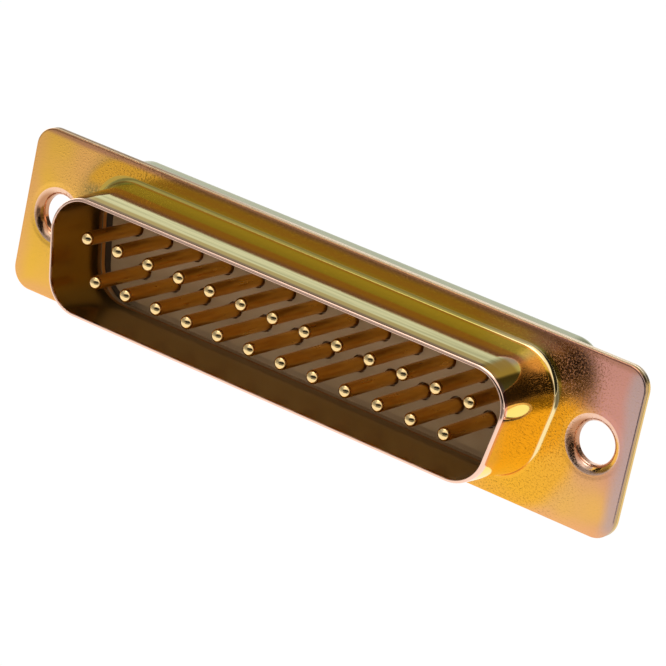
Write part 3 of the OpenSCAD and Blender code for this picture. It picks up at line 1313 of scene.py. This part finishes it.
@dataclass(frozen=True)
class Contact:
    """One turned contact: domed pin, shoulder, stem and scooped solder cup."""

    CUT: ClassVar[float] = 1e-7

    node: str
    row: Row
    place: Vector
    pin_tip: float
    cup_end: float
    pin: float = 0.51
    shoulder: float = 0.95
    shoulder_front: float = -1.9
    shoulder_back: float = -3.3
    stem: float = 0.75
    cup: float = 0.9
    cup_bore: float = 0.575
    cup_front: float = -5.6
    cup_floor: float = -6.7
    scoop_front: float = -7.0
    scoop_level: float = 0.1
    break_edge: float = 0.04
    steps: int = 40
    dome_steps: int = 14
    scoop_steps: int = 6

    def solid_section(self) -> list[Point]:
        """Give the turned outline from the tip to the bottom of the cup.

        Returns:
            The points of the section.
        """
        edge = self.break_edge
        line = Section((0.0, self.pin_tip))
        line.arc((0.0, self.pin_tip - self.pin), 90, Turn.RIGHT, self.dome_steps)
        line.line(
            (self.pin, self.shoulder_front),
            (self.shoulder - edge, self.shoulder_front),
            (self.shoulder, self.shoulder_front - edge),
            (self.shoulder, self.shoulder_back),
            (self.stem, self.shoulder_back),
            (self.stem, self.cup_front),
            (self.cup - edge, self.cup_front),
            (self.cup, self.cup_front - edge),
            (self.cup, self.cup_end + edge),
            (self.cup - edge, self.cup_end),
            (self.cup_bore + edge, self.cup_end),
            (self.cup_bore, self.cup_end + edge),
            (self.cup_bore, self.cup_floor),
            (0.0, self.cup_floor),
        )
        return line.points

    def build(self, finish: bpy.types.Material) -> None:
        """Build and dress the contact.

        Args:
            finish: The gold material that all contacts share.
        """
        sheet = Sheet()
        section = self.solid_section()
        chain = sheet.chain(facing_mate(reach, height) for reach, height in section)
        sheet.spin(chain, Vector(), Sheet.FULL_TURN, self.steps)
        sheet.weld()
        self._scoop(sheet.mesh)
        place = Matrix.Translation(self.place)
        if self.row is Row.LOWER:
            place = place @ Matrix.Rotation(math.pi, 4, "Y")
        bmesh.ops.transform(sheet.mesh, matrix=place, verts=sheet.mesh.verts)
        sheet.piece(self.node + "_gold", finish, "contact", [self.node])

    def _scoop(self, mesh: bmesh.types.BMesh) -> None:
        """Cut the cup open towards +Z, with a run-out that tangent planes round off.

        Args:
            mesh: The turned contact.
        """
        radius = (self.cup - self.scoop_level) * MM
        centre = facing_mate(self.cup, self.scoop_front - radius / MM)
        angles = (QUARTER * index / self.scoop_steps for index in range(self.scoop_steps + 1))
        spokes = [Vector((0.0, -math.sin(angle), -math.cos(angle))) for angle in angles]
        for spoke in spokes:
            near = [face for face in mesh.faces if self._near_scoop(face)]
            edges = {edge for face in near for edge in face.edges}
            verts = {vert for face in near for vert in face.verts}
            bmesh.ops.bisect_plane(
                mesh,
                geom=[*verts, *edges, *near],
                dist=self.CUT,
                plane_co=centre + spoke * radius,
                plane_no=spoke,
            )
        cut = [
            face
            for face in mesh.faces
            if self._near_scoop(face) and self._within(face, centre, spokes, radius)
        ]
        bmesh.ops.delete(mesh, geom=cut, context="FACES")
        rim = [edge for edge in mesh.edges if edge.is_boundary]
        bmesh.ops.triangle_fill(mesh, use_beauty=True, edges=rim, normal=(0.0, 0.0, 1.0))

    def _near_scoop(self, face: bmesh.types.BMFace) -> bool:
        """Tell whether a face lies on the side of the cup that is cut open."""
        middle = face.calc_center_median()
        return middle.z > 0.0 and middle.y > -(self.scoop_front + self.cup_bore) * MM

    @staticmethod
    def _within(
        face: bmesh.types.BMFace, centre: Vector, spokes: Sequence[Vector], radius: float
    ) -> bool:
        """Tell whether a face lies on the inner side of every tangent plane."""
        middle = face.calc_center_median() - centre
        return all(middle.dot(spoke) < radius for spoke in spokes)


@dataclass(frozen=True)
class ContactField:
    """All contacts, each on the axis of its CAD node."""

    finish: GoldPlate = GoldPlate()

    def build(self) -> None:
        """Build every contact, in the order of the nodes."""
        finish = self.finish.material()
        for node in sorted(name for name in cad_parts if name.startswith("pin_")):
            low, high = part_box(node)
            place = Vector(((low.x + high.x) / 2, 0.0, (low.z + high.z) / 2))
            row = Row.UPPER if place.z > 0 else Row.LOWER
            Contact(node, row, place, -low.y / MM, -high.y / MM).build(finish)


@dataclass(frozen=True)
class Insulators:
    """The two mouldings, which keep their CAD meshes."""

    front: MouldedPlastic = MouldedPlastic("taupe_front_moulding")
    rear: MouldedPlastic = MouldedPlastic("taupe_rear_moulding")

    def build(self) -> None:
        """Give both mouldings their materials."""
        for node, finish in (("front_insulator", self.front), ("rear_insulator", self.rear)):
            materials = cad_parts[node].data.materials
            materials.clear()
            materials.append(finish.material())
            LOG.info("%s: %s", node, finish.name)


# --- studio ------------------------------------------------------------------


@dataclass(frozen=True)
class Lamp:
    """One soft box."""

    name: str
    place: Colour
    size: float
    watts: float

    def build(self) -> None:
        """Hang the lamp and turn it to the object."""
        data = bpy.data.lights.new(self.name, "AREA")
        data.shape = "SQUARE"
        data.size = self.size
        data.energy = self.watts
        made = bpy.data.objects.new(self.name, data)
        bpy.context.scene.collection.objects.link(made)
        made.location = Vector(self.place)
        made.rotation_euler = (-made.location).to_track_quat("-Z", "Y").to_euler()


@dataclass(frozen=True)
class Camera:
    """The camera, given by the way it looks at a point."""

    aim: Colour = (0.00175, 0.0, 0.00006)
    azimuth: float = 31.41
    elevation: float = 18.53
    roll: float = 12.11
    distance: float = 0.2699
    lens: float = 208.4
    sensor: float = 36.0
    nearest: float = 0.01

    def build(self) -> None:
        """Create the scene's camera."""
        turn, rise = math.radians(self.azimuth), math.radians(self.elevation)
        level = math.cos(rise)
        back = Vector((math.sin(turn) * level, -math.cos(turn) * level, math.sin(rise)))
        data = bpy.data.cameras.new("camera")
        data.lens = self.lens
        data.sensor_width = self.sensor
        data.clip_start = self.nearest
        made = bpy.data.objects.new("camera", data)
        bpy.context.scene.collection.objects.link(made)
        look = (-back).to_track_quat("-Z", "Y").to_matrix().to_4x4()
        tilt = Matrix.Rotation(math.radians(self.roll), 4, "Z")
        place = Matrix.Translation(Vector(self.aim) + back * self.distance)
        made.matrix_world = place @ look @ tilt
        bpy.context.scene.camera = made


@dataclass(frozen=True)
class Room:
    """How bright the surroundings are by heading and rise in degrees, as the plating mirrors them.

    One side is dark, the side left of it is dim, and so are two patches behind the connector.
    """

    dark_heading: float = 31.4
    dark_spread: float = 50.0
    dark_high_spread: float = 26.0
    dark_narrows: Edge = Edge(16.0, 40.0)
    dark_top: Edge = Edge(41.0, 35.0)
    soft_side: Edge = Edge(-6.0, 6.0)
    lifted: Edge = Edge(-2.0, 1.0)
    dim_from: float = 6.0
    dim_low_top: Edge = Edge(40.0, 34.0)
    dim_high_side: Edge = Edge(16.0, 28.0)
    dim_end: Edge = Edge(-120.0, -100.0)
    dim_top: Edge = Edge(68.0, 56.0)
    dim_fades: Edge = Edge(24.0, 40.0)
    behind_side: Edge = Edge(100.0, 120.0)
    behind_low: Edge = Edge(20.0, 32.0)
    behind_top: Edge = Edge(70.0, 60.0)
    corner_from: Edge = Edge(95.0, 110.0)
    corner_to: Edge = Edge(178.0, 162.0)
    corner_low: Edge = Edge(6.0, 14.0)
    corner_top: Edge = Edge(60.0, 45.0)
    dark: float = 0.015
    corner_dark: float = 0.06
    dim: float = 0.3
    dim_high: float = 0.5
    dusk: float = 0.42

    def brightness(self, graph: Graph) -> Channel:
        """Give the brightness in each direction.

        Args:
            graph: The world's graph.

        Returns:
            Brightness from 0 to 1.
        """
        x, y, z = graph.split(graph.direction())
        heading = graph.heading(x, y)
        rise = graph.math("ARCSINE", z) * DEGREE
        lifted = self.lifted.mask(rise)
        narrowed = self.dark_narrows.mask(rise) * (self.dark_high_spread - self.dark_spread)
        spread = narrowed + self.dark_spread - abs(heading - self.dark_heading)
        dark = self.soft_side.mask(spread) * lifted * self.dark_top.mask(rise)
        aside = -heading - self.dim_from
        low = self.soft_side.mask(aside) * self.dim_low_top.mask(rise)
        left = graph.larger(low, self.dim_high_side.mask(aside)) * self.dim_end.mask(heading)
        fade = self.dim_fades.mask(rise) * (self.dim - self.dim_high) + (1.0 - self.dim)
        dim = left * lifted * self.dim_top.mask(rise) * fade
        behind = self.behind_side.mask(abs(heading)) * self.behind_low.mask(rise)
        behind = behind * self.behind_top.mask(rise)
        corner = self.corner_from.mask(heading) * self.corner_to.mask(heading)
        corner = corner * self.corner_low.mask(rise) * self.corner_top.mask(rise)
        lost = graph.larger(dark * (1.0 - self.dark), dim)
        lost = graph.larger(lost, corner * (1.0 - self.corner_dark))
        return 1.0 - graph.larger(lost, behind * (1.0 - self.dusk))


@dataclass(frozen=True)
class Floor:
    """Pale floor, well below the connector, that the plating mirrors as dark in two places."""

    drop: float = 0.055
    size: float = 3.0
    grey: Colour = (0.85, 0.85, 0.85)
    glow: float = 0.9
    dark_heading: float = 31.4
    near_side: Edge = Edge(44.0, 26.4)
    near_reach: Edge = Edge(0.125, 0.165, share=0.93)
    far_reach: Edge = Edge(0.11, 0.33, share=0.7)
    far_left: Edge = Edge(-125.0, -100.0)
    far_right: Edge = Edge(125.0, 100.0)

    def build(self) -> None:
        """Lay the floor."""
        mesh = bmesh.new()
        bmesh.ops.create_grid(mesh, x_segments=1, y_segments=1, size=self.size / 2)
        data = bpy.data.meshes.new("floor")
        mesh.to_mesh(data)
        mesh.free()
        data.materials.append(self._finish())
        made = bpy.data.objects.new("floor", data)
        made.location.z = -self.drop
        bpy.context.scene.collection.objects.link(made)

    def _finish(self) -> bpy.types.Material:
        """Build the floor's material, white where it is seen and matt where light falls."""
        made = bpy.data.materials.new("pale_floor")
        made.use_nodes = True
        graph = Graph(made.node_tree)
        seen = rays(graph, "Is Camera Ray", "Is Glossy Ray", "Is Transmission Ray")
        x, y, _ = graph.split(graph.place())
        away = graph.length(x, y)
        heading = graph.heading(x, y)
        near = self.near_side.mask(abs(heading - self.dark_heading)) * self.near_reach.mask(away)
        far = self.far_left.mask(heading) * self.far_right.mask(heading)
        far = far * self.far_reach.mask(away)
        mirrored = 1.0 - graph.larger(near, far) * rays(graph, "Is Glossy Ray")
        matt = graph.node("ShaderNodeBsdfDiffuse", None, {"Color": self.grey})
        glow = graph.node("ShaderNodeEmission", None, {"Color": mirrored, "Strength": 1.0})
        graph.end("ShaderNodeOutputMaterial", graph.blend(seen * self.glow, matt, glow))
        return made


@dataclass(frozen=True)
class Studio:
    """Floor, surroundings and two soft lamps."""

    floor: Floor = Floor()
    room: Room = Room()
    lamps: tuple[Lamp, ...] = (
        Lamp("top", (-0.1, 0.15, 0.9), 0.8, 3.0),
        Lamp("side", (-0.9, 0.5, 0.25), 0.6, 2.0),
    )

    def build(self) -> None:
        """Set the floor, the world and the lamps."""
        self.floor.build()
        self._world()
        for lamp in self.lamps:
            lamp.build()
        bpy.context.scene.view_settings.view_transform = "Standard"

    def _world(self) -> None:
        """Make the surroundings: white as light and where seen, the room in reflections."""
        world = bpy.data.worlds.new("surroundings")
        bpy.context.scene.world = world
        world.use_nodes = True
        graph = Graph(world.node_tree)
        mirrored = self.room.brightness(graph)
        white = graph.node("ShaderNodeBackground", None, {"Color": WHITE, "Strength": 1.0})
        room = graph.node("ShaderNodeBackground", None, {"Color": mirrored, "Strength": 1.0})
        lit = graph.blend(rays(graph, "Is Glossy Ray"), white, room)
        seen = rays(graph, "Is Camera Ray", "Is Transmission Ray")
        graph.end("ShaderNodeOutputWorld", graph.blend(seen, lit, white))


def rays(graph: Graph, *kinds: str) -> Channel:
    """Give 1 for the named kinds of ray.

    Args:
        graph: The graph to build in.
        kinds: Output names of the Light Path node.

    Returns:
        The mask.
    """
    path = graph.node("ShaderNodeLightPath")
    seen = Channel(graph, path.outputs[kinds[0]])
    for kind in kinds[1:]:
        seen = graph.larger(seen, Channel(graph, path.outputs[kind]))
    return seen


def main() -> None:
    """Build, dress and light the connector."""
    logging.basicConfig(level=logging.INFO, format="%(name)s: %(message)s")
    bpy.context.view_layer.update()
    low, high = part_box("front_shell")
    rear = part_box("rear_shell")[1]
    outline = FlangeOutline((high.x - low.x) / MM, (high.z - low.z) / MM)
    FrontShell(outline, -low.y / MM).build()
    RearShell(outline, rear.y / MM).build()
    Insulators().build()
    ContactField().build()
    Camera().build()
    Studio().build()


if __name__ == "__main__":
    main()
